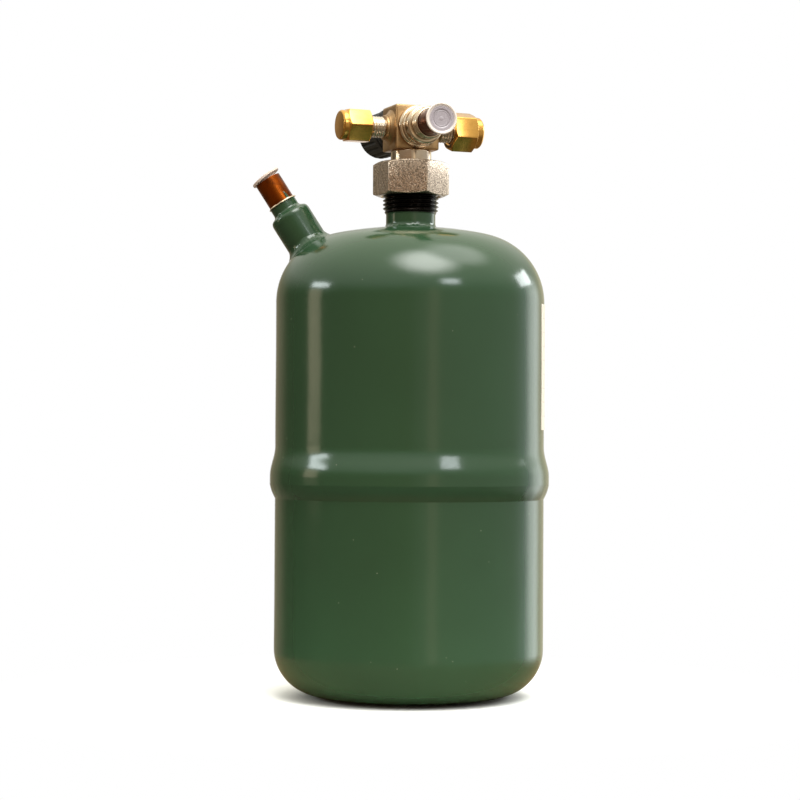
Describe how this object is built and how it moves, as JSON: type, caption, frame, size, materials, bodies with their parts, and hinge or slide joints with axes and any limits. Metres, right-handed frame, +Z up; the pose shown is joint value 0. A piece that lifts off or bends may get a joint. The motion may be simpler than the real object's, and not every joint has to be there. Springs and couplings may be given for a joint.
{
  "type": "refrigerant liquid receiver",
  "caption": "Upright welded steel receiver for liquid refrigerant with a side inlet stub and a shut-off valve on its top neck.",
  "frame": {"origin": "middle of the flat base, on the axis of the vessel", "axes": "+Z up along the vessel axis, -Y to the front, the inlet stub leans to -X"},
  "size_m": [0.1342, 0.1256, 0.2684],
  "materials": {
    "green_enamel": "gloss enamel",
    "label_film": "matte film",
    "painted_thread": "painted steel with a bare thread",
    "plain_steel": "machined",
    "zinc_steel": "zinc plated, grainy",
    "turned_steel": "turned and plated",
    "nickel_body": "plated, satin",
    "bare_brass": "turned, polished",
    "copper_tube": "drawn copper",
    "braze_metal": "silver braze",
    "white_plug": "moulded",
    "clear_plug": "moulded, cloudy",
    "black_cap": "moulded, ribbed",
    "seal_polymer": "moulded",
    "fibre_gasket": "pressed"
  },
  "bodies": {
    "receiver": {"dip_tube": "plain_steel", "gland_nut": "plain_steel", "gland_washer": "plain_steel", "inlet_boss": "green_enamel", "inlet_braze": "braze_metal", "inlet_tube": "copper_tube", "inlet_weld": "green_enamel", "label": "label_film", "left_port": "turned_steel", "lower_shell": "green_enamel", "neck": "painted_thread", "neck_weld": "green_enamel", "outlet_tube": "copper_tube", "right_port": "turned_steel", "shell_weld": "green_enamel", "stem_packing": "fibre_gasket", "tailpiece": "turned_steel", "union_seal": "seal_polymer", "upper_shell": "green_enamel", "valve_block": "nickel_body"},
    "left_cap_carrier": {"left_cap_seal": "seal_polymer"},
    "left_cap": {"left_cap": "bare_brass"},
    "right_cap_carrier": {"right_cap_seal": "seal_polymer"},
    "right_cap": {"right_cap": "bare_brass"},
    "stem_cap_carrier": {"stem_cap_gasket": "fibre_gasket"},
    "stem_cap": {"stem_cap": "black_cap"},
    "valve_disc": {"stem_disc": "plain_steel"},
    "valve_stem": {"stem": "plain_steel"},
    "nut_washer": {"thrust_washer": "plain_steel"},
    "union_nut": {"union_nut": "zinc_steel"},
    "inlet_plug": {"inlet_plug": "white_plug"},
    "outlet_plug": {"outlet_plug": "clear_plug"}
  },
  "joints": [
    {"name": "left_cap_travel", "type": "slide", "parent": "receiver", "child": "left_cap_carrier", "axis": [-0.9272, -0.3746, 0], "range_m": [0, 0.01016]},
    {"name": "left_cap_turn", "type": "hinge", "parent": "left_cap_carrier", "child": "left_cap", "pos_m": [0, 0, 0.25565], "axis": [-0.9272, -0.3746, 0], "range_deg": [0, 2880]},
    {"name": "right_cap_travel", "type": "slide", "parent": "receiver", "child": "right_cap_carrier", "axis": [0.9272, 0.3746, 0], "range_m": [0, 0.01016]},
    {"name": "right_cap_turn", "type": "hinge", "parent": "right_cap_carrier", "child": "right_cap", "pos_m": [0, 0, 0.25565], "axis": [0.9272, 0.3746, 0], "range_deg": [0, 2880]},
    {"name": "stem_cap_travel", "type": "slide", "parent": "receiver", "child": "stem_cap_carrier", "axis": [-0.3746, 0.9272, 0], "range_m": [0, 0.01]},
    {"name": "stem_cap_turn", "type": "hinge", "parent": "stem_cap_carrier", "child": "stem_cap", "pos_m": [0, 0, 0.25745], "axis": [-0.3746, 0.9272, 0], "range_deg": [0, 2880]},
    {"name": "stem_travel", "type": "slide", "parent": "receiver", "child": "valve_disc", "axis": [0.3746, -0.9272, 0], "range_m": [0, 0.004]},
    {"name": "stem_turn", "type": "hinge", "parent": "valve_disc", "child": "valve_stem", "pos_m": [0, 0, 0.25745], "axis": [0.3746, -0.9272, 0], "range_deg": [0, 720]},
    {"name": "nut_travel", "type": "slide", "parent": "receiver", "child": "nut_washer", "axis": [0, 0, 1], "range_m": [0, 0.00272]},
    {"name": "nut_turn", "type": "hinge", "parent": "nut_washer", "child": "union_nut", "pos_m": [0, 0, 0], "axis": [0, 0, 1], "range_deg": [0, 540]},
    {"name": "inlet_plug_pull", "type": "slide", "parent": "receiver", "child": "inlet_plug", "axis": [-0.5373, 0, 0.8434], "range_m": [0, 0.03]},
    {"name": "outlet_plug_pull", "type": "slide", "parent": "receiver", "child": "outlet_plug", "axis": [0.3746, -0.9272, 0], "range_m": [0, 0.03]}
  ],
  "couplings": [
    {"joint": "left_cap_travel", "follows": "left_cap_turn", "m_per_rad": 0.00020213},
    {"joint": "right_cap_travel", "follows": "right_cap_turn", "m_per_rad": 0.00020213},
    {"joint": "stem_cap_travel", "follows": "stem_cap_turn", "m_per_rad": 0.00019894},
    {"joint": "stem_travel", "follows": "stem_turn", "m_per_rad": 0.00031831},
    {"joint": "nut_travel", "follows": "nut_turn", "m_per_rad": 0.00028871}
  ]
}
